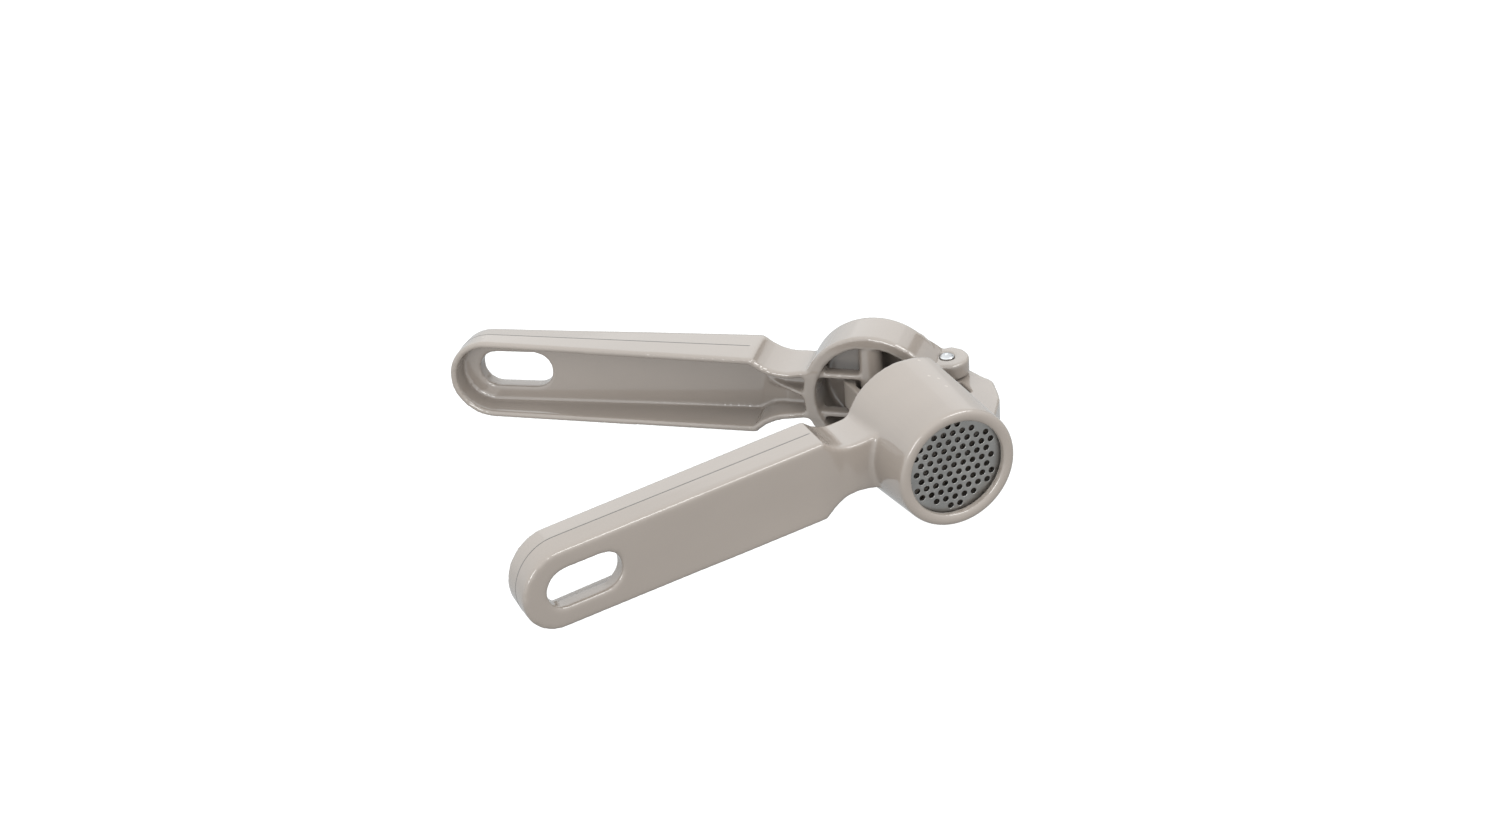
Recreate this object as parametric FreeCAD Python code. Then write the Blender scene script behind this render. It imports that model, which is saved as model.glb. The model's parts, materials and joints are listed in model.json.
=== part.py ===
import FreeCAD, Part
import math
import os

from FreeCAD import Vector

# Garlic press of two hinged mouldings, lying on its side with the hinge pin upright.
#
# Working frame while modelling: the hinge pin is the Z axis, the handles run towards -X,
# the bore of the chamber runs along Y with the strainer at its -Y end, and z = 0 is the
# middle plane. Both halves are modelled closed, then turned and slid to the rest pose,
# which is part open. At the end everything moves to the row frame, whose origin is the
# middle of the foot of the bounding box.
# "u" is the distance from the pin towards the free ends of the handles, so x = -u.

# ---- hinge ----
PIN_R = 2.3
PIN_HALF = 9.9            # to where the domed end starts
PIN_DOME = 0.8             # height of the domed end
PIN_FIT = 0.02             # radial clearance in the two ears
PIN_RUN = 0.06             # radial clearance in the web that turns on the pin
KNUCKLE_R = 7.0            # both mouldings round the pin
WEB_HALF = 4.0             # half thickness of the chamber's hinge web
EAR_GAP = 0.35             # play between web and ear
EAR_TOP = 9.9
EAR_FRONT_Y = -10.5        # front of the ears where they leave the cup
EAR_FRONT_X = -3.4
EAR_BACK_X = -7.0          # where the round of the ear runs out into the cup's back
EAR_ROOT_X = -9.8          # the ears start this far inside the cup's wall
EAR_FLAT_X = -2.0          # end of the level top, before it climbs the cup
EAR_CLIMB_DEG = 50         # how far round the cup it climbs
EAR_ROOT_DROP = 3.0
NOTCH_PLAY = 0.5           # round the chamber's knuckle, in the cup's wall
REST_OPEN_DEG = 38.9       # rest pose, counted from closed
TRAVEL_PER_RAD = 22.5      # plunger slide for each radian of handle

# ---- garlic chamber ----
AXIS_U = 21.8              # bore axis, from the pin
MOUTH_Y = -14.1
FRONT_Y = -48.2
CHAMBER_MOUTH_R = 21.6
CHAMBER_FRONT_R = 19.0
HINGE_FLAT = 19.0          # flats beside the hinge web: distance from the bore axis
HINGE_FLAT_DEG = 38        # and how far their outward normal leans up or down from +X
BORE_MOUTH_R = 17.8
BORE_FRONT_R = 16.7
LIP_R = 15.2
LIP_DEPTH = 3.0
FRONT_ROUND = 1.3
FRONT_BEVEL_R = 16.6
FRONT_BEVEL = 0.5
ROUND_STEP = 0.3           # a rounded corner is two chords meeting this share of it inside

# ---- strainer ----
STRAINER_T = 1.0
STRAINER_PLAY = 0.08
HOLE_R = 0.95
HOLE_PITCH = 3.1
HOLE_FIELD_R = 14.2

# ---- head cup of the plunger handle ----
CUP_R = 21.6
CUP_FRONT_Y = -13.2
CUP_BACK_Y = 2.4
CUP_INNER_R = 17.5
CUP_INNER_BACK_R = 17.0
CUP_FLOOR_Y = 0.2
CUP_ROUND = 1.6
POST_R = 3.8
POST_Y = -9.2
BAR_Z = 5.8                # lower face of the upper bar
BAR_T = 2.0
BAR_Y0 = -12.3
BAR_Y1 = -7.4

# ---- plunger ----
DISC_R = 16.2
DISC_T = 2.6
DISC_GAP = 0.3             # from the strainer when closed
STEM_HALF_X = 3.4
STEM_HALF_Z = 7.6
STEM_WEB = 2.6
STEM_TOP_Y = -16.2
HOOK_HALF_Z = 4.7
HOOK_WALL = 2.2
SLOT_Y0 = -15.2
SLOT_Y1 = -4.6
SLOT_END_X = -28.2         # closed end of the slot, towards the handles
HOOK_OPEN_X = -10.4        # the slot opens towards the pin; end of the pressing arm
HOOK_PULL_X = -17.0        # end of the pulling arm, kept short of the cup's back wall

# ---- grips: half heights at the shoulder and at the free end, and the plan lines ----
SHOULDER_U = 58.8
TIP_U = 159.5
NECK_START_U = 34.0
NECK_BLEND_U = 47.3
NECK_HALF = 8.2
SHOULDER_R = 15.5
CHAMBER_FLARE = 3.4        # rise of the neck into the chamber wall
PLUNGER_FLARE = 0.6        # and into the head cup
CHAMBER_RIM_HALVES = (13.0, 13.0)
PLUNGER_RIM_HALVES = (13.0, 13.65)
SEAM_HALVES = (13.15, 13.3)
FACE_HALVES = (12.95, 12.2)
WALL = 2.2
GRIP_MARGIN = 1.5          # the lofts run this far past the plan lines

# ---- hanging slots ----
SLOT_U0 = 127.8
SLOT_U1 = 151.8
SLOT_HALF = 6.0

# Plan lines as (u, y). "face" is the outer side, "rim" the open side of the channel and
# "floor" the bottom of the channel, which starts at its first point.
CHAMBER_FACE = ((34.0, -31.8), (46.0, -32.4), (52.0, -33.2), (60.0, -35.1), (165.0, -53.4))
CHAMBER_FLOOR = ((46.0, -27.0), (52.0, -27.8), (60.0, -29.7), (165.0, -48.0))
CHAMBER_RIM = ((34.0, -14.6), (42.0, -15.3), (52.0, -17.4), (58.3, -18.8), (165.0, -39.8))
PLUNGER_FACE = ((34.0, 2.3), (46.0, 2.6), (58.3, 2.4), (165.0, -4.3))
PLUNGER_FLOOR = ((38.0, -7.7), (50.0, -6.5), (58.8, -3.1), (165.0, -9.7))
PLUNGER_RIM = ((34.0, -13.3), (43.5, -13.5), (47.0, -14.6), (58.3, -15.8), (165.0, -16.6))
GUSSET = ((42.8, -13.3), (52.0, -7.6), (57.0, -3.9), (57.0, -1.0), (42.8, -1.0))
GUSSET_HALF = 1.0          # stiffens the neck of the plunger handle on the middle plane

# ---- hinge web of the chamber, in plan ----
WEB_FOOT = (-3.6, -36.0)
WEB_FLANK = (6.1, -22.7)
WEB_BULGE = (7.8, -18.5)
WEB_SIDE = (9.0, -14.5)
WEB_CORNER = (9.7, -11.2)
WEB_NOSE = (8.8, -8.2)
WEB_CLEAR_X = 0.6          # stands this far off the closed cup

PAST = 1.0                 # cutting solids run this far past the faces they open
PARTS = "parts"
Z_AXIS = Vector(0, 0, 1)
Y_AXIS = Vector(0, 1, 0)
HINGE = Vector(0, 0, 0)


def line(a, b):
    return Part.LineSegment(a, b).toShape()


def arc(a, mid, b):
    return Part.Arc(a, mid, b).toShape()


def prism(edges, direction):
    """Solid from a closed chain of edges."""
    return Part.Face(Part.Wire(edges)).extrude(direction)


def polygon_prism(points, direction):
    return Part.Face(Part.makePolygon(points + [points[0]])).extrude(direction)


def revolve_about_bore(profile):
    """Turn a closed (radius, y) outline about the bore axis."""
    points = [Vector(-AXIS_U + r, y, 0) for r, y in profile]
    face = Part.Face(Part.makePolygon(points + [points[0]]))
    return face.revolve(Vector(-AXIS_U, 0, 0), Y_AXIS, 360)


def side_of(face_plan, rim_plan):
    """+1 where the outer face lies on the +Y side of the rim, else -1."""
    return 1 if face_plan[0][1] > rim_plan[0][1] else -1


def line_at(plan, u):
    """Height y of a plan line at u, taken along its last, long stretch."""
    (u0, y0), (u1, y1) = plan[-2:]
    return y0 + (y1 - y0) * (u - u0) / (u1 - u0)


def grip_section(plan, shift, halves, inset, flare):
    """Outline of a grip in the slanted plane of one plan line: neck, shoulder, rounded end."""
    (half_root, half_tip) = halves
    slope = (line_at(plan, TIP_U) - line_at(plan, SHOULDER_U)) / (TIP_U - SHOULDER_U)
    tip_u = TIP_U - inset
    end_r = half_tip - inset
    end_u = tip_u - end_r * math.cos(math.atan(slope))
    blend_r = SHOULDER_R + inset
    blend_h = NECK_HALF + SHOULDER_R
    corner_h = half_root - inset
    swing = math.acos((blend_h - corner_h) / blend_r)
    corner_u = NECK_BLEND_U + blend_r * math.sin(swing)

    def at(u, h):
        return Vector(-u, line_at(plan, u) + shift, h)

    edges = []
    for side in (1, -1):
        neck = at(NECK_START_U, side * (NECK_HALF + flare - inset))
        neck_mid = at((NECK_START_U + NECK_BLEND_U) / 2, side * (NECK_HALF + flare / 4 - inset))
        blend = at(NECK_BLEND_U, side * (NECK_HALF - inset))
        half_way = at(NECK_BLEND_U + blend_r * math.sin(swing / 2),
                      side * (blend_h - blend_r * math.cos(swing / 2)))
        corner = at(corner_u, side * corner_h)
        edges.append([arc(neck, neck_mid, blend), arc(blend, half_way, corner),
                      line(corner, at(end_u, side * end_r))])
    turn = arc(at(end_u, end_r), at(tip_u, 0), at(end_u, -end_r))
    root_h = NECK_HALF + flare - inset
    close = line(at(NECK_START_U, -root_h), at(NECK_START_U, root_h))
    return Part.Wire(edges[0] + [turn] + edges[1][::-1] + [close])


def grip_loft(face_plan, rim_plan, rim_halves, inset, flare):
    """Grip between its two plan lines, widest at the mould seam half way."""
    outward = side_of(face_plan, rim_plan)
    seam_plan = tuple((u, (line_at(face_plan, u) + line_at(rim_plan, u)) / 2)
                      for u in (SHOULDER_U, TIP_U))
    sections = [grip_section(face_plan, outward * GRIP_MARGIN, FACE_HALVES, inset, flare),
                grip_section(seam_plan, 0.0, SEAM_HALVES, inset, flare),
                grip_section(rim_plan, -outward * GRIP_MARGIN, rim_halves, inset, flare)]
    return Part.makeLoft(sections, True, True)


def plan_prism(first, second):
    """Upright prism between two plan lines."""
    height = 2 * (CUP_R + 2)
    points = [Vector(-u, y, -height / 2) for u, y in first + second[::-1]]
    return polygon_prism(points, Vector(0, 0, height))


def stadium(half, ends, y0, y1):
    """Long round-ended prism along Y between u = ends, with the given half height."""
    u0, u1 = ends
    c0 = -(u0 + half)
    c1 = -(u1 - half)
    edges = [line(Vector(c0, y0, half), Vector(c1, y0, half)),
             arc(Vector(c1, y0, half), Vector(-u1, y0, 0), Vector(c1, y0, -half)),
             line(Vector(c1, y0, -half), Vector(c0, y0, -half)),
             arc(Vector(c0, y0, -half), Vector(-u0, y0, 0), Vector(c0, y0, half))]
    return prism(edges, Vector(0, y1 - y0, 0))


def grip(face_plan, floor_plan, rim_plan, rim_halves, flare):
    """Channel-shaped grip with its neck and hanging slot."""
    outward = side_of(face_plan, rim_plan)
    outer = grip_loft(face_plan, rim_plan, rim_halves, 0.0, flare)
    outer = outer.common(plan_prism(face_plan, rim_plan))
    start_u = floor_plan[0][0]
    past_rim = tuple((max(u, start_u), y - outward * GRIP_MARGIN) for u, y in rim_plan
                     if u > NECK_START_U)
    hollow = grip_loft(face_plan, rim_plan, rim_halves, WALL, flare)
    hollow = hollow.common(plan_prism(floor_plan, past_rim))
    slot = stadium(SLOT_HALF, (SLOT_U0, SLOT_U1),
                   min(y for _, y in face_plan + rim_plan) - PAST,
                   max(y for _, y in face_plan + rim_plan) + PAST)
    return outer.cut([hollow, slot])


def hinge_web():
    """Flat web that carries the pin between the two ears."""
    def at(point):
        return Vector(point[0], point[1], -WEB_HALF)

    meet = Vector(KNUCKLE_R, 0, -WEB_HALF)
    back = Vector(-KNUCKLE_R, 0, -WEB_HALF)
    leave = Vector(WEB_CLEAR_X, -math.sqrt(KNUCKLE_R ** 2 - WEB_CLEAR_X ** 2), -WEB_HALF)
    root = at((WEB_CLEAR_X, MOUTH_Y - 0.5))
    inner = at((WEB_FOOT[0], MOUTH_Y - 0.5))
    edges = [line(at(WEB_FOOT), at(WEB_FLANK)),
             arc(at(WEB_FLANK), at(WEB_BULGE), at(WEB_SIDE)),
             arc(at(WEB_SIDE), at(WEB_CORNER), at(WEB_NOSE)),
             line(at(WEB_NOSE), meet),
             arc(meet, back, leave),
             line(leave, root),
             line(root, inner),
             line(inner, at(WEB_FOOT))]
    return prism(edges, Vector(0, 0, 2 * WEB_HALF))


def upright_cylinder(radius, half, x=0.0, y=0.0):
    return Part.makeCylinder(radius, 2 * half, Vector(x, y, -half), Z_AXIS)


def hinge_flat_cutters():
    """Blocks that shave the tapered wall beside the hinge web, running out at the front ring."""
    reach = 2 * CHAMBER_MOUTH_R
    cutters = []
    for side in (1, -1):
        block = Part.makeBox(reach, MOUTH_Y - FRONT_Y + 2 * PAST, reach,
                             Vector(HINGE_FLAT, FRONT_Y - PAST, -reach / 2))
        block.rotate(HINGE, Y_AXIS, -side * HINGE_FLAT_DEG)
        block.translate(Vector(-AXIS_U, 0, 0))
        cutters.append(block)
    return cutters


def chamber_outside():
    wall = revolve_about_bore([(0, MOUTH_Y), (CHAMBER_MOUTH_R, MOUTH_Y),
                               (CHAMBER_FRONT_R, FRONT_Y + FRONT_ROUND),
                               (CHAMBER_FRONT_R - FRONT_ROUND * ROUND_STEP,
                                FRONT_Y + FRONT_ROUND * ROUND_STEP),
                               (CHAMBER_FRONT_R - FRONT_ROUND, FRONT_Y), (0, FRONT_Y)])
    return wall.cut(hinge_flat_cutters())


def chamber_inside():
    """Bore with its strainer seat, and the bevelled discharge opening in front of the lip."""
    seat_y = FRONT_Y + LIP_DEPTH
    step_y = seat_y + STRAINER_T
    return revolve_about_bore([(0, MOUTH_Y + PAST), (BORE_MOUTH_R, MOUTH_Y + PAST),
                               (BORE_MOUTH_R, MOUTH_Y), (BORE_FRONT_R, step_y),
                               (BORE_FRONT_R, seat_y), (LIP_R, seat_y),
                               (LIP_R, FRONT_Y + FRONT_BEVEL), (FRONT_BEVEL_R, FRONT_Y),
                               (FRONT_BEVEL_R, FRONT_Y - PAST), (0, FRONT_Y - PAST)])


def chamber_handle():
    handle = grip(CHAMBER_FACE, CHAMBER_FLOOR, CHAMBER_RIM, CHAMBER_RIM_HALVES, CHAMBER_FLARE)
    body = chamber_outside().fuse([handle, hinge_web()])
    body = body.cut([chamber_inside(), upright_cylinder(PIN_R + PIN_RUN, WEB_HALF + PAST)])
    return body.removeSplitter()


def cup_outside():
    return revolve_about_bore([(0, CUP_FRONT_Y), (CUP_R, CUP_FRONT_Y),
                               (CUP_R, CUP_BACK_Y - CUP_ROUND),
                               (CUP_R - CUP_ROUND * ROUND_STEP,
                                CUP_BACK_Y - CUP_ROUND * ROUND_STEP),
                               (CUP_R - CUP_ROUND, CUP_BACK_Y), (0, CUP_BACK_Y)])


def cup_inside():
    clear_y = CUP_FRONT_Y - 8 * PAST
    return revolve_about_bore([(0, clear_y), (CUP_INNER_R, clear_y),
                               (CUP_INNER_R, CUP_FRONT_Y), (CUP_INNER_BACK_R, CUP_FLOOR_Y),
                               (0, CUP_FLOOR_Y)])


def ears():
    """The two knuckles over and under the web, faired up into the cup's round side."""
    climb = math.radians(EAR_CLIMB_DEG)
    climb_x = -AXIS_U + CUP_R * math.cos(climb)
    climb_z = CUP_R * math.sin(climb)
    low = WEB_HALF + EAR_GAP
    end_x = KNUCKLE_R + PAST
    depth = 4 * KNUCKLE_R
    pair = []
    for side in (1, -1):
        front = [(EAR_ROOT_X, low), (end_x, low), (end_x, EAR_TOP), (EAR_FLAT_X, EAR_TOP),
                 (climb_x, climb_z), (EAR_ROOT_X, climb_z - EAR_ROOT_DROP)]
        points = [Vector(x, -depth / 2, side * z) for x, z in front]
        pair.append(polygon_prism(points, Vector(0, depth, 0)))
    near = Vector(0, -KNUCKLE_R, -climb_z)
    tip = Vector(KNUCKLE_R, 0, -climb_z)
    far = Vector(0, KNUCKLE_R, -climb_z)
    corners = [far] + [Vector(x, y, -climb_z) for x, y in
                       ((EAR_BACK_X, CUP_BACK_Y), (EAR_ROOT_X, CUP_BACK_Y),
                        (EAR_ROOT_X, EAR_FRONT_Y), (EAR_FRONT_X, EAR_FRONT_Y))] + [near]
    edges = [arc(near, tip, far)] + [line(a, b) for a, b in zip(corners, corners[1:])]
    plan = prism(edges, Vector(0, 0, 2 * climb_z))
    return [ear.common(plan) for ear in pair]


def plunger_handle():
    handle = grip(PLUNGER_FACE, PLUNGER_FLOOR, PLUNGER_RIM, PLUNGER_RIM_HALVES, PLUNGER_FLARE)
    gusset = polygon_prism([Vector(-u, y, -GUSSET_HALF) for u, y in GUSSET],
                           Vector(0, 0, 2 * GUSSET_HALF))
    body = cup_outside().fuse([handle, gusset] + ears())
    notch = upright_cylinder(KNUCKLE_R + NOTCH_PLAY, WEB_HALF + EAR_GAP)
    body = body.cut([cup_inside(), notch, upright_cylinder(PIN_R + PIN_FIT, EAR_TOP + PAST)])
    reach = (CUP_INNER_R + CUP_R) / 2
    post = upright_cylinder(POST_R, reach, -AXIS_U, POST_Y)
    bars = [Part.makeBox(2 * reach, BAR_Y1 - BAR_Y0, BAR_T, Vector(-AXIS_U - reach, BAR_Y0, z))
            for z in (BAR_Z, -BAR_Z - BAR_T)]
    fill = Part.makeCylinder(reach, CUP_FLOOR_Y - CUP_FRONT_Y,
                             Vector(-AXIS_U, CUP_FRONT_Y, 0), Y_AXIS)
    inner = post.fuse(bars).common(fill)
    return body.fuse(inner).removeSplitter()


def plunger():
    disc_y = FRONT_Y + LIP_DEPTH + STRAINER_T + DISC_GAP
    disc = Part.makeCylinder(DISC_R, DISC_T, Vector(-AXIS_U, disc_y, 0), Y_AXIS)
    length = STEM_TOP_Y - disc_y
    flat = Part.makeBox(2 * STEM_HALF_X, length, STEM_WEB,
                        Vector(-AXIS_U - STEM_HALF_X, disc_y, -STEM_WEB / 2))
    upright = Part.makeBox(STEM_WEB, length, 2 * STEM_HALF_Z,
                           Vector(-AXIS_U - STEM_WEB / 2, disc_y, -STEM_HALF_Z))
    left = SLOT_END_X - HOOK_WALL
    block = Part.makeBox(HOOK_OPEN_X - left, SLOT_Y1 - SLOT_Y0 + 2 * HOOK_WALL, 2 * HOOK_HALF_Z,
                         Vector(left, SLOT_Y0 - HOOK_WALL, -HOOK_HALF_Z))
    block = block.makeFillet(HOOK_WALL, [e for e in block.Edges
                                         if abs(e.Vertexes[0].X - e.Vertexes[1].X) < 1e-6
                                         and abs(e.Vertexes[0].Y - e.Vertexes[1].Y) < 1e-6])
    radius = (SLOT_Y1 - SLOT_Y0) / 2
    middle = (SLOT_Y1 + SLOT_Y0) / 2
    slot = Part.makeBox(HOOK_OPEN_X + PAST - (SLOT_END_X + radius), 2 * radius, 4 * HOOK_HALF_Z,
                        Vector(SLOT_END_X + radius, SLOT_Y0, -2 * HOOK_HALF_Z))
    slot = slot.fuse(upright_cylinder(radius, 2 * HOOK_HALF_Z, SLOT_END_X + radius, middle))
    short = Part.makeBox(HOOK_OPEN_X + PAST - HOOK_PULL_X, 2 * HOOK_WALL, 4 * HOOK_HALF_Z,
                         Vector(HOOK_PULL_X, SLOT_Y1 - HOOK_WALL / 2, -2 * HOOK_HALF_Z))
    return disc.fuse([flat, upright, block.cut([slot, short])]).removeSplitter()


def strainer_plate():
    seat_y = FRONT_Y + LIP_DEPTH
    plate = Part.makeCylinder(BORE_FRONT_R - STRAINER_PLAY, STRAINER_T,
                              Vector(-AXIS_U, seat_y, 0), Y_AXIS)
    row_pitch = HOLE_PITCH * math.sqrt(3) / 2
    rows = int(HOLE_FIELD_R / row_pitch)
    columns = int(HOLE_FIELD_R / HOLE_PITCH) + 1
    holes = []
    for row in range(-rows, rows + 1):
        for column in range(-columns, columns + 1):
            x = (column + (row % 2) / 2) * HOLE_PITCH
            if math.hypot(x, row * row_pitch) <= HOLE_FIELD_R:
                start = Vector(-AXIS_U + x, seat_y - PAST, row * row_pitch)
                holes.append(Part.makeCylinder(HOLE_R, STRAINER_T + 2 * PAST, start, Y_AXIS))
    return plate.cut(holes)


def hinge_pin():
    """Plain pin with low domed ends."""
    dome_r = (PIN_R ** 2 + PIN_DOME ** 2) / (2 * PIN_DOME)
    pin = upright_cylinder(PIN_R, PIN_HALF)
    for side in (1, -1):
        ball = Part.makeSphere(dome_r, Vector(0, 0, side * (PIN_HALF + PIN_DOME - dome_r)))
        cap = Part.makeCylinder(PIN_R + PAST, PIN_DOME + PAST, Vector(0, 0, side * PIN_HALF),
                                Vector(0, 0, side))
        pin = pin.fuse(ball.common(cap))
    return pin.removeSplitter()


def to_rest(shapes):
    """Open the plunger handle to the rest pose and slide the plunger to match."""
    for name in ("plunger_handle", "hinge_pin"):
        shapes[name].rotate(HINGE, Z_AXIS, -REST_OPEN_DEG)
    shapes["plunger"].translate(Vector(0, TRAVEL_PER_RAD * math.radians(REST_OPEN_DEG), 0))


def main():
    shapes = {"chamber_handle": chamber_handle(), "plunger_handle": plunger_handle(),
              "plunger": plunger(), "strainer_plate": strainer_plate(),
              "hinge_pin": hinge_pin()}
    to_rest(shapes)
    box = Part.makeCompound(list(shapes.values())).BoundBox
    shift = Vector(-(box.XMin + box.XMax) / 2, -(box.YMin + box.YMax) / 2, -box.ZMin)
    for name, shape in shapes.items():
        shape.translate(shift)
        shape.exportStep(os.path.join(PARTS, name + ".step"))
        print(name, len(shape.Solids), "solid(s)", round(shape.Volume / 1000, 2), "cm3")
    print("hinge axis at", [round(v, 4) for v in shift], "mm")
    print("size", round(box.XLength, 2), round(box.YLength, 2), round(box.ZLength, 2), "mm")


os.makedirs(PARTS, exist_ok=True)
main()
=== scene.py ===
import json
import math

import bmesh
import bpy
from mathutils import Euler, Matrix, Vector
from mathutils.bvhtree import BVHTree


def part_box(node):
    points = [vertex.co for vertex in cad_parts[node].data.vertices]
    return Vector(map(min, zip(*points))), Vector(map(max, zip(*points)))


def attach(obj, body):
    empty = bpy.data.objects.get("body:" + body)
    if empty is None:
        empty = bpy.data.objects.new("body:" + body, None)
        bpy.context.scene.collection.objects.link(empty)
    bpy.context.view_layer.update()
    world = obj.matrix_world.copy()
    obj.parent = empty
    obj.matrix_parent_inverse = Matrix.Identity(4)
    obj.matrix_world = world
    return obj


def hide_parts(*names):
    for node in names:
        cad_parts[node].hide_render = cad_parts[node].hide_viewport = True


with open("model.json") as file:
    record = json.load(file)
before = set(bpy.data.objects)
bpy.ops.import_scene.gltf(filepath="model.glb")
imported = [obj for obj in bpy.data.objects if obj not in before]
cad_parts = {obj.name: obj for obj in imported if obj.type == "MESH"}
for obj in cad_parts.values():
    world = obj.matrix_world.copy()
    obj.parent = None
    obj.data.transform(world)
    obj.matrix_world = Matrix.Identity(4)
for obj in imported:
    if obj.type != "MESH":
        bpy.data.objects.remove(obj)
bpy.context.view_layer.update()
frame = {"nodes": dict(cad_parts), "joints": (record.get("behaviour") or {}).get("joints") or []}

MM = 0.001
JOINTS = {j["name"]: j for j in frame["joints"]}
HINGE = Vector(JOINTS["handle_hinge"]["pos_m"])
REST_OPEN = math.radians(38.9)  # angle between the handles in the frame

# ---- how the mouldings are softened ----
VOXEL = 0.52 * MM
SLIDER_VOXEL = 0.4 * MM
SETTLE_REACH = 3            # voxels: a point farther than this from the CAD surface stays
SMOOTH_STEP = 0.5           # share of the way to its neighbours' middle that a point moves
EVEN_ROUNDS = 4             # between the first and the second time that the points settle
SMOOTH_ROUNDS = 8
SLIDER_ROUNDS = 5
FACE_ROUNDS = 22            # extra rounds along the outer face's edges
FACE_REACH = 2.6            # mm from the outer face; the last 1 mm fades out
BLEND_ROUNDS = 22           # extra rounds where a neck runs into a head
BLEND_PEAK = 1.6            # weight at the middle of that zone; above 1 it counts as 1
BLEND_ACROSS = 0.4          # distances across the neck count this much
FOLD = math.radians(32)     # a sharper angle between two small faces is a fold
MEND_ROUNDS = 4
MEND_PASSES = 3             # smoothing passes over the folds found in each round
SKIN = 0.05 * MM            # the moulded skin lies this far inside the CAD surface

# ---- mould seam ----
SEAM_R = 0.36 * MM
SEAM_SINK = 0.27 * MM       # depth of the bead's middle line below the skin
SEAM_START = 61.0 * MM      # along the grip, from the hinge
SEAM_TURN = 12.0 * MM       # the seam turns round the grip's tip over this length
SEAM_ROUNDS = 6             # smoothing rounds along the bead

# ---- the handles in plan, (along, across) the grip in mm from the hinge ----
CHAMBER_FACE = ((46.0, -32.6), (165.0, -53.4))
CHAMBER_BLEND = ((41.5, -24.0), 7.5)
CHAMBER_SEAM = ((58.8, -27.0), (159.5, -45.5))
PLUNGER_FACE = ((46.0, 2.8), (165.0, -4.3))
PLUNGER_BLEND = ((42.0, -5.0), 5.5)
PLUNGER_SEAM = ((58.8, -6.7), (159.5, -10.3))

# ---- strainer ----
HOLE_PITCH = 3.1 * MM
HOLE_R = 0.95 * MM
HOLE_FIELD_R = 14.2 * MM    # no hole's middle lies farther out
PUNCH_EDGE = 0.12 * MM      # rounding of the punched edges
HOLE_POINTS = 24
RIM_POINTS = 96

# ---- camera, given from the hinge ----
CAMERA_OFFSET = Vector((-326.2213, -643.7034, 390.7483)) * MM
CAMERA_AZIMUTH = math.radians(-21.9338)
CAMERA_ELEVATION = math.radians(28.8832)
CAMERA_ROLL = math.radians(-4.5886)
CAMERA_LENS = 63.0613
CAMERA_SENSOR = 36.0
CAMERA_FAR = 50.0

# ---- surroundings: the bright direction, and (share of the way up it, light) ----
SKY_AXIS = (-0.30, -0.15, 0.94)
SKY_LEVELS = ((0.0, 0.36), (0.40, 0.96), (0.55, 1.46), (0.75, 1.80), (1.0, 1.90))
SKY_TINT = (0.965, 1.0, 1.02)
FLOOR_HALF = 4.0

# ---- materials ----
NOISE_LOW = 0.3             # most of a noise texture's values lie between these two
NOISE_HIGH = 0.7
STRAY_BAND = 0.05           # a point sharper than an edge by this much is a stray one
GREY = (0.207, 0.177, 0.152)


# ------------------------------------------------------------------ meshes

def link(name, data):
    obj = bpy.data.objects.new(name, data)
    bpy.context.scene.collection.objects.link(obj)
    return obj


def evaluated_mesh(obj):
    """Give obj the mesh that its modifiers make, and drop them."""
    graph = bpy.context.evaluated_depsgraph_get()
    mesh = bpy.data.meshes.new_from_object(obj.evaluated_get(graph))
    obj.modifiers.clear()
    obj.data = mesh
    return mesh


def tree_of(obj):
    mesh = obj.data
    return BVHTree.FromPolygons([v.co for v in mesh.vertices],
                                [p.vertices for p in mesh.polygons])


def settle(piece, tree, reach):
    """Move the points of piece to the nearest spots of the surface in tree."""
    for v in piece.data.vertices:
        spot = tree.find_nearest(v.co, reach)[0]
        if spot is not None:
            v.co = spot


def soften(piece, rounds, group=None):
    """Smooth the piece, or only the points of one of its vertex groups."""
    step = piece.modifiers.new("soft", "SMOOTH")
    step.factor = SMOOTH_STEP
    step.iterations = rounds
    if group is not None:
        step.vertex_group = group
    evaluated_mesh(piece)


def remeshed(node, name, voxel):
    """Fine, even copy of a CAD node, with its points on the CAD surface."""
    source = frame["nodes"][node]
    piece = link(name, source.data.copy())
    piece.data.materials.clear()
    step = piece.modifiers.new("even", "REMESH")
    step.mode = "VOXEL"
    step.voxel_size = voxel
    evaluated_mesh(piece).name = name
    tree = tree_of(source)
    settle(piece, tree, SETTLE_REACH * voxel)
    soften(piece, EVEN_ROUNDS)
    settle(piece, tree, SETTLE_REACH * voxel)
    return piece


def mend(piece):
    """Relax the few folded spots that the remesh leaves."""
    bm = bmesh.new()
    bm.from_mesh(piece.data)
    for _ in range(MEND_ROUNDS):
        bm.normal_update()
        folded = {v for e in bm.edges if e.calc_face_angle(0.0) > FOLD for v in e.verts}
        around = folded | {e.other_vert(v) for v in folded for e in v.link_edges}
        for _ in range(MEND_PASSES):
            bmesh.ops.smooth_vert(bm, verts=list(around), factor=SMOOTH_STEP,
                                  use_axis_x=True, use_axis_y=True, use_axis_z=True)
    bm.to_mesh(piece.data)
    bm.free()


def sink(piece, depth):
    """Move every point inward by depth."""
    normals = [v.normal.copy() for v in piece.data.vertices]
    for v, n in zip(piece.data.vertices, normals):
        v.co -= n * depth


def finish_piece(piece, body, node, material):
    """Shade, colour and place a piece; node is the CAD node it stands in for, if any."""
    piece.data.polygons.foreach_set("use_smooth", [True] * len(piece.data.polygons))
    piece.data.update()
    piece.data.materials.clear()
    piece.data.materials.append(material)
    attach(piece, body)
    if node:
        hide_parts(node)
    return piece


# ------------------------------------------------------------------ materials

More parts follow.
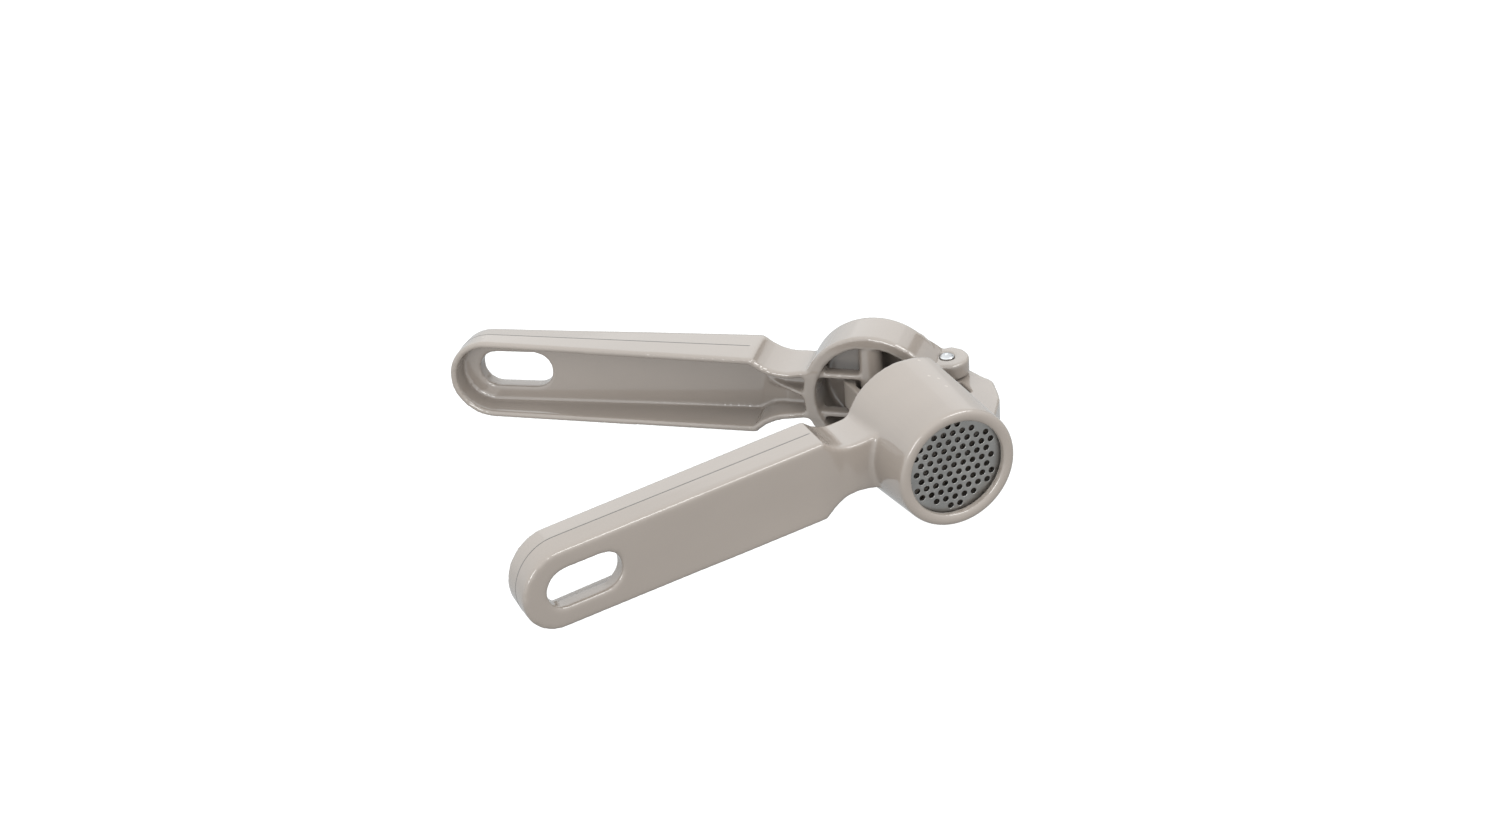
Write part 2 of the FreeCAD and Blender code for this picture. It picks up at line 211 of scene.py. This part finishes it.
class Nodes:
    """Shorthand for building a node tree."""

    def __init__(self, name):
        self.material = bpy.data.materials.new(name)
        self.material.use_nodes = True
        self.tree = self.material.node_tree
        self.shader = self.tree.nodes["Principled BSDF"]
        self.place = self.add("ShaderNodeTexCoord").outputs["Object"]

    def add(self, kind, **values):
        node = self.tree.nodes.new(kind)
        for key, value in values.items():
            setattr(node, key, value)
        return node

    def join(self, a, b):
        self.tree.links.new(a, b)

    def noise(self, scale, detail, roughness, stretch=None):
        node = self.add("ShaderNodeTexNoise")
        node.inputs["Scale"].default_value = scale
        node.inputs["Detail"].default_value = detail
        node.inputs["Roughness"].default_value = roughness
        place = self.place
        if stretch:
            mapping = self.add("ShaderNodeMapping")
            mapping.inputs["Scale"].default_value = stretch
            self.join(place, mapping.inputs["Vector"])
            place = mapping.outputs["Vector"]
        self.join(place, node.inputs["Vector"])
        return node.outputs["Fac"]

    def spread(self, source, low, high, from_low=NOISE_LOW, from_high=NOISE_HIGH):
        """Values between from_low and from_high, spread over low to high."""
        node = self.add("ShaderNodeMapRange")
        for key, value in (("From Min", from_low), ("From Max", from_high),
                           ("To Min", low), ("To Max", high)):
            node.inputs[key].default_value = value
        self.join(source, node.inputs["Value"])
        return node.outputs["Result"]

    def blend(self, factor, first, second):
        """Colour mix; each side is a colour or a socket."""
        node = self.add("ShaderNodeMix", data_type="RGBA")
        self.join(factor, node.inputs[0])
        for socket, value in ((node.inputs[6], first), (node.inputs[7], second)):
            if isinstance(value, tuple):
                socket.default_value = value + (1.0,)
            else:
                self.join(value, socket)
        return node.outputs[2]

    def painted_edge_highlight(self, low, high):
        """Mask of the painted edge highlight: 1 on rounded outer edges, 0 on flats and on single
        stray points.
        """
        pointiness = self.add("ShaderNodeNewGeometry").outputs["Pointiness"]
        both = self.add("ShaderNodeMath", operation="MULTIPLY")
        self.join(self.spread(pointiness, 0.0, 1.0, low, high), both.inputs[0])
        self.join(self.spread(pointiness, 1.0, 0.0, high, high + STRAY_BAND), both.inputs[1])
        return both.outputs["Value"]

    def bumps(self, *layers):
        """Stacked bumps, each (height socket, strength, distance in metres)."""
        normal = None
        for height, strength, distance in layers:
            node = self.add("ShaderNodeBump")
            node.inputs["Strength"].default_value = strength
            node.inputs["Distance"].default_value = distance
            self.join(height, node.inputs["Height"])
            if normal is not None:
                self.join(normal, node.inputs["Normal"])
            normal = node.outputs["Normal"]
        self.join(normal, self.shader.inputs["Normal"])

    def set(self, **values):
        for key, value in values.items():
            self.shader.inputs[key.replace("_", " ")].default_value = value


def moulded_plastic(name, tint, gloss):
    """Warm grey moulded plastic: faint flow marks, orange peel, handling marks, and a painted
    highlight on the rounded edges.
    """
    n = Nodes(name)
    dark = tuple(0.95 * c for c in tint)
    pale = tuple(1.05 * c for c in tint)
    edge = tuple(1.4 * c + 0.02 for c in tint)
    flow = n.noise(scale=28.0, detail=3.0, roughness=0.5, stretch=(0.35, 1.0, 1.0))
    body = n.blend(n.spread(flow, 0.0, 1.0), dark, pale)
    # painted highlight: the rounded edges are painted in the paler edge colour
    colour = n.blend(n.painted_edge_highlight(low=0.56, high=0.70), body, edge)
    n.join(colour, n.shader.inputs["Base Color"])
    peel = n.noise(scale=1500.0, detail=2.0, roughness=0.5)
    waves = n.noise(scale=160.0, detail=2.0, roughness=0.5)
    rub = n.noise(scale=140.0, detail=3.0, roughness=0.5, stretch=(0.3, 1.0, 1.0))
    n.join(n.spread(rub, gloss - 0.02, gloss + 0.03), n.shader.inputs["Roughness"])
    n.bumps((waves, 0.08, 0.08 * MM), (peel, 0.10, 0.02 * MM))
    n.set(IOR=1.58, Coat_Weight=0.40, Coat_Roughness=0.05)
    return n.material


def punched_steel():
    """Brushed stainless sheet with a cloudy film and a painted highlight on the punched edges.
    """
    n = Nodes("punched_steel")
    dull, clean, edge = (0.24, 0.235, 0.225), (0.34, 0.33, 0.315), (0.70, 0.70, 0.68)
    grain = n.noise(scale=700.0, detail=6.0, roughness=0.65, stretch=(0.04, 1.0, 1.0))
    cloud = n.noise(scale=90.0, detail=3.0, roughness=0.5)
    base = n.blend(n.spread(cloud, 0.0, 1.0), dull, clean)
    # painted highlight: the punched edges are painted in the bright edge colour
    colour = n.blend(n.painted_edge_highlight(low=0.54, high=0.66), base, edge)
    n.join(colour, n.shader.inputs["Base Color"])
    n.join(n.spread(grain, 0.22, 0.40), n.shader.inputs["Roughness"])
    n.bumps((grain, 0.25, 0.04 * MM))
    n.set(Metallic=1.0, Anisotropic=0.4)
    return n.material


def polished_pin():
    """Bright steel with hairline scratches, cloudy patches and a painted highlight on the rim.
    """
    n = Nodes("polished_pin")
    dull, clean, edge = (0.36, 0.36, 0.37), (0.46, 0.46, 0.46), (0.72, 0.72, 0.72)
    scratch = n.noise(scale=900.0, detail=6.0, roughness=0.7, stretch=(1.0, 0.06, 1.0))
    cloud = n.noise(scale=300.0, detail=2.0, roughness=0.5)
    base = n.blend(n.spread(cloud, 0.0, 1.0), dull, clean)
    # painted highlight: the rounded rim is painted in the bright edge colour
    colour = n.blend(n.painted_edge_highlight(low=0.52, high=0.62), base, edge)
    n.join(colour, n.shader.inputs["Base Color"])
    n.join(n.spread(scratch, 0.08, 0.20), n.shader.inputs["Roughness"])
    n.bumps((scratch, 0.12, 0.02 * MM))
    n.set(Metallic=1.0)
    return n.material


def paper_white():
    """Paper that glows evenly, so that it shows pure white."""
    n = Nodes("paper_white")
    grain = n.noise(scale=300.0, detail=3.0, roughness=0.5)
    colour = n.blend(n.spread(grain, 0.0, 1.0), (0.10, 0.10, 0.10), (0.13, 0.13, 0.13))
    n.join(colour, n.shader.inputs["Base Color"])
    n.set(Roughness=0.9, Specular_IOR_Level=0.1, Emission_Color=(1.0, 1.0, 1.0, 1.0),
          Emission_Strength=1.0)
    return n.material


def matt_black():
    """Black card with a faint weave."""
    n = Nodes("matt_black")
    weave = n.noise(scale=400.0, detail=3.0, roughness=0.5)
    colour = n.blend(n.spread(weave, 0.0, 1.0), (0.010, 0.010, 0.010), (0.020, 0.020, 0.020))
    n.join(colour, n.shader.inputs["Base Color"])
    n.set(Roughness=0.9, Specular_IOR_Level=0.0)
    return n.material


# ------------------------------------------------------------------ pieces

HANDLE_PLASTIC = moulded_plastic("handle_plastic", GREY, gloss=0.13)
# painted shade: the seam bead is the handle plastic painted dark, standing in for the shade of a
# groove
SEAM_SHADE_PLASTIC = moulded_plastic("seam_painted_shade", tuple(0.28 * c for c in GREY), gloss=0.40)
PLUNGER_PLASTIC = moulded_plastic("plunger_plastic", tuple(0.96 * c for c in GREY), gloss=0.38)


def grip_frame(turn):
    """Directions along and across the grip of a handle turned by turn, in plan."""
    along = Matrix.Rotation(-turn, 3, "Z") @ Vector((-1.0, 0.0, 0.0))
    across = Matrix.Rotation(-turn, 3, "Z") @ Vector((0.0, 1.0, 0.0))
    return along, across


def soft_zone(piece, name, weight):
    """Vertex group holding the points where weight(point) is above zero."""
    group = piece.vertex_groups.new(name=name)
    for v in piece.data.vertices:
        w = weight(v.co)
        if w > 0.0:
            group.add([v.index], min(w, 1.0), "REPLACE")
    return name


def moulding(node, name, body, turn, face, blend):
    """Softened copy of a handle: face is two plan points on its outer face, and blend is the
    plan centre and radius of the zone where its neck runs into its head, all in mm."""
    piece = remeshed(node, name, VOXEL)
    along, across = grip_frame(turn)

    def plan(point):
        offset = point - HINGE
        return offset.dot(along) / MM, offset.dot(across) / MM

    (u0, y0), (u1, y1) = face

    def near_face(point):
        u, y = plan(point)
        gap = abs(y - y0 - (y1 - y0) * (u - u0) / (u1 - u0))
        return (FACE_REACH - gap) if u > u0 else 0.0

    (cu, cy), reach = blend

    def near_blend(point):
        u, y = plan(point)
        return BLEND_PEAK * (1.0 - math.hypot(u - cu, BLEND_ACROSS * (y - cy)) / reach)

    soften(piece, FACE_ROUNDS, soft_zone(piece, "face", near_face))
    soften(piece, BLEND_ROUNDS, soft_zone(piece, "blend", near_blend))
    soften(piece, SMOOTH_ROUNDS)
    mend(piece)
    sink(piece, SKIN)
    piece.vertex_groups.clear()
    return finish_piece(piece, body, node, HANDLE_PLASTIC)


def seam_line(piece, turn, near, far):
    """Points just inside a grip where the upright plane through near and far cuts it: along
    its top, round its tip and back along its underside."""
    along, across = grip_frame(turn)
    a = HINGE + (along * near[0] + across * near[1]) * MM
    b = HINGE + (along * far[0] + across * far[1]) * MM
    run = (b - a).normalized()
    plane = run.cross(Vector((0.0, 0.0, 1.0))).normalized()
    bm = bmesh.new()
    bm.from_mesh(piece.data)
    cut = bmesh.ops.bisect_plane(bm, geom=bm.verts[:] + bm.edges[:] + bm.faces[:],
                                 plane_co=a, plane_no=plane)["geom_cut"]
    bm.normal_update()
    tip = b - run * SEAM_TURN

    def outside(v):
        lead = (v.co - tip).dot(run)
        outward = Vector((0.0, 0.0, v.co.z - HINGE.z)) + run * max(lead, 0.0)
        return (v.co - HINGE).dot(run) > SEAM_START and outward.dot(v.normal) > 0.0

    # the cut's outer points, walked from the upper end of their chain
    kept = {v for v in cut if isinstance(v, bmesh.types.BMVert) and outside(v)}
    ends = [v for v in kept if sum(e.other_vert(v) in kept for e in v.link_edges) == 1]
    chain = [max(ends, key=lambda v: v.co.z)]
    seen = set(chain)
    while True:
        beside = [e.other_vert(chain[-1]) for e in chain[-1].link_edges]
        beside = [v for v in beside if v in kept and v not in seen]
        if not beside:
            break
        seen.add(beside[0])
        chain.append(beside[0])
    points = [v.co - v.normal * SEAM_SINK for v in chain]
    bm.free()
    return points


def seam(piece, name, body, turn, near, far):
    """Bead along the mould seam of a grip: near and far are (along, across) points in mm."""
    points = seam_line(piece, turn, near, far)
    for _ in range(SEAM_ROUNDS):
        points = ([points[0]] + [(p + 2 * q + r) / 4 for p, q, r in
                                 zip(points, points[1:], points[2:])] + [points[-1]])
    points = points[::2] + [points[-1]]
    curve = bpy.data.curves.new("path", "CURVE")
    curve.dimensions = "3D"
    curve.bevel_depth = SEAM_R
    curve.bevel_resolution = 2
    curve.use_fill_caps = True
    spline = curve.splines.new("POLY")
    spline.points.add(len(points) - 1)
    for target, p in zip(spline.points, points):
        target.co = (*p, 1.0)
    path = link("path", curve)
    bead = link(name, bpy.data.meshes.new_from_object(path))
    bpy.data.objects.remove(path)
    return finish_piece(bead, body, None, SEAM_SHADE_PLASTIC)


def circle_spline(curve, centre, radius, count, turn):
    """Closed circle of count points; turn is 1 for an outline and -1 for a hole."""
    spline = curve.splines.new("POLY")
    spline.points.add(count - 1)
    spline.use_cyclic_u = True
    for i, point in enumerate(spline.points):
        angle = turn * 2 * math.pi * i / count
        point.co = (centre[0] + radius * math.cos(angle),
                    centre[1] + radius * math.sin(angle), 0.0, 1.0)


def punched_plate():
    """The strainer as punched sheet: rounded hole edges, holes in staggered rows."""
    low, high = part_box("strainer_plate")
    middle = (low + high) / 2
    outer = (high.x - low.x) / 2
    thick = high.y - low.y
    row_pitch = HOLE_PITCH * math.sqrt(3) / 2
    curve = bpy.data.curves.new("strainer", "CURVE")
    curve.dimensions = "2D"
    curve.fill_mode = "BOTH"
    curve.extrude = thick / 2 - PUNCH_EDGE
    curve.bevel_depth = PUNCH_EDGE
    curve.bevel_resolution = 3
    curve.offset = -PUNCH_EDGE
    circle_spline(curve, (0.0, 0.0), outer, RIM_POINTS, 1)
    rows = int(HOLE_FIELD_R / row_pitch)
    columns = int(HOLE_FIELD_R / HOLE_PITCH) + 1
    for row in range(-rows, rows + 1):
        for column in range(-columns, columns + 1):
            x = (column + (row % 2) / 2) * HOLE_PITCH
            z = row * row_pitch
            if math.hypot(x, z) <= HOLE_FIELD_R:
                circle_spline(curve, (x, z), HOLE_R, HOLE_POINTS, -1)
    flat = link("flat", curve)
    flat.rotation_euler = Euler((math.pi / 2, 0.0, 0.0))
    flat.location = middle
    bpy.context.view_layer.update()
    mesh = bpy.data.meshes.new_from_object(flat)
    mesh.transform(flat.matrix_world)
    bpy.data.objects.remove(flat)
    plate = link("strainer_sheet", mesh)
    return finish_piece(plate, "chamber_side", "strainer_plate",
                        punched_steel())


chamber = moulding("chamber_handle", "chamber_moulding", "chamber_side", 0.0,
                   CHAMBER_FACE, CHAMBER_BLEND)
head = moulding("plunger_handle", "plunger_moulding", "plunger_side", REST_OPEN,
                PLUNGER_FACE, PLUNGER_BLEND)
seam(chamber, "chamber_seam", "chamber_side", 0.0, *CHAMBER_SEAM)
seam(head, "plunger_seam", "plunger_side", REST_OPEN, *PLUNGER_SEAM)

slider = remeshed("plunger", "plunger_slide_moulding", SLIDER_VOXEL)
soften(slider, SLIDER_ROUNDS)
sink(slider, SKIN)
finish_piece(slider, "plunger_slider", "plunger", PLUNGER_PLASTIC)

punched_plate()
pin = frame["nodes"]["hinge_pin"]
pin.data.materials.clear()
pin.data.materials.append(polished_pin())


# ------------------------------------------------------------------ stage

def sheet(name, segments, half, material):
    """Flat sheet that casts no shadow and no diffuse light."""
    bm = bmesh.new()
    bmesh.ops.create_grid(bm, x_segments=segments, y_segments=segments, size=half)
    mesh = bpy.data.meshes.new(name)
    bm.to_mesh(mesh)
    bm.free()
    mesh.materials.append(material)
    obj = link(name, mesh)
    obj.visible_diffuse = False
    obj.visible_shadow = False
    return obj


def floor():
    """White ground that shows in no reflection."""
    obj = sheet("floor", 4, FLOOR_HALF, paper_white())
    obj.visible_glossy = False


def softbox(name, place, size, watts):
    """Area light turned to the hinge; place is given from the hinge, in metres."""
    data = bpy.data.lights.new(name, "AREA")
    data.shape = "RECTANGLE"
    data.size, data.size_y = size
    data.energy = watts
    obj = link(name, data)
    obj.location = HINGE + Vector(place)
    obj.rotation_euler = (HINGE - obj.location).to_track_quat("-Z", "Y").to_euler()


def camera():
    data = bpy.data.cameras.new("camera")
    data.lens = CAMERA_LENS
    data.sensor_width = CAMERA_SENSOR
    data.clip_end = CAMERA_FAR
    obj = link("camera", data)
    az, el = CAMERA_AZIMUTH, CAMERA_ELEVATION
    right = Vector((math.cos(az), math.sin(az), 0.0))
    back = Vector((math.sin(az) * math.cos(el), -math.cos(az) * math.cos(el), math.sin(el)))
    up = back.cross(right)
    c, s = math.cos(CAMERA_ROLL), math.sin(CAMERA_ROLL)
    axes = Matrix((c * right + s * up, c * up - s * right, back)).transposed()
    obj.matrix_world = Matrix.Translation(HINGE + CAMERA_OFFSET) @ axes.to_4x4()
    bpy.context.scene.camera = obj


def flag(name, place, size):
    """Dark card turned to the hinge, which only reflections show."""
    obj = sheet(name, 1, 0.5, matt_black())
    obj.location = HINGE + Vector(place)
    obj.rotation_euler = (HINGE - obj.location).to_track_quat("Z", "Y").to_euler()
    obj.scale = (size[0], size[1], 1.0)
    obj.visible_camera = False


def surroundings():
    """Bright overhead and to the left, dim below and to the right."""
    world = bpy.data.worlds.new("room")
    world.use_nodes = True
    tree = world.node_tree
    place = tree.nodes.new("ShaderNodeTexCoord")
    height = tree.nodes.new("ShaderNodeVectorMath")
    height.operation = "DOT_PRODUCT"
    height.inputs[1].default_value = SKY_AXIS
    share = tree.nodes.new("ShaderNodeMapRange")
    share.inputs["From Min"].default_value = -1.0
    ramp = tree.nodes.new("ShaderNodeValToRGB")
    stops = ramp.color_ramp.elements
    for _ in SKY_LEVELS[len(stops):]:
        stops.new(0.5)
    for stop, (position, level) in zip(stops, SKY_LEVELS):
        stop.position = position
        stop.color = (*(level * c for c in SKY_TINT), 1.0)
    tree.links.new(place.outputs["Generated"], height.inputs[0])
    tree.links.new(height.outputs["Value"], share.inputs["Value"])
    tree.links.new(share.outputs["Result"], ramp.inputs["Fac"])
    tree.links.new(ramp.outputs["Color"], tree.nodes["Background"].inputs["Color"])
    bpy.context.scene.world = world


floor()
softbox("edge_strip", place=(0.45, -0.45, 0.85), size=(0.9, 0.35), watts=6.0)
softbox("left_box", place=(-0.9, -1.1, 0.45), size=(0.5, 0.7), watts=7.5)
softbox("back_box", place=(0.50, 1.00, 0.62), size=(1.1, 0.5), watts=0.5)
flag("right_flag", place=(1.03, 0.50, 0.37), size=(0.10, 0.70))
surroundings()
camera()
bpy.context.scene.view_settings.view_transform = "Standard"
